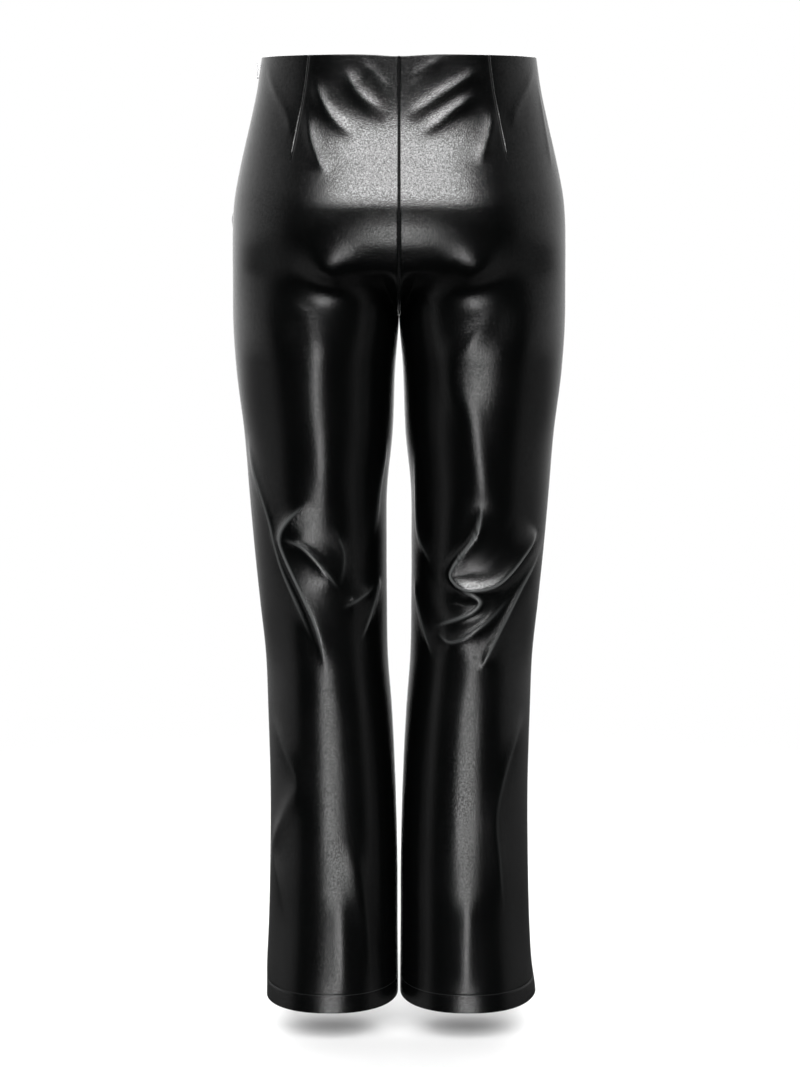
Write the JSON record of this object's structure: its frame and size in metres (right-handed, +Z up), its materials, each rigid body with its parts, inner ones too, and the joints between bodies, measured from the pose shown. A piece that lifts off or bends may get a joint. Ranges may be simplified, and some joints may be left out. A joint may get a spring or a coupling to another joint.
{
  "type": "faux leather trousers",
  "caption": "Black glossy faux leather trousers with a high plain waist, back darts, a concealed side zip, straight legs and turned-up hems, filled out as if worn.",
  "frame": {"origin": "middle of the waist opening, level with the cloth's top edge, where a wearer's waist holds the trousers up", "axes": "+Z up, +X towards the wearer's right, +Y the way the wearer faces; the seat is at -Y and the zip at -X"},
  "size_m": [0.3568, 0.2435, 1.0183],
  "materials": {
    "faux_leather": "glossy coated faux leather with a fine grain",
    "zip_tape": "matt woven tape",
    "zip_metal": "dark polished metal"
  },
  "bodies": {
    "trousers": {"back_left": "faux_leather", "back_right": "faux_leather", "front_left": "faux_leather", "front_right": "faux_leather", "zip_tape": "zip_tape", "zip_slider": "zip_metal"},
    "zip_pull": {"zip_pull": "zip_metal"}
  },
  "joints": [
    {"name": "zip_pull_swing", "type": "hinge", "parent": "trousers", "child": "zip_pull", "pos_m": [-0.15, 0.00003, -0.00805], "axis": [0, 1, 0], "range_deg": [0, 150]}
  ]
}
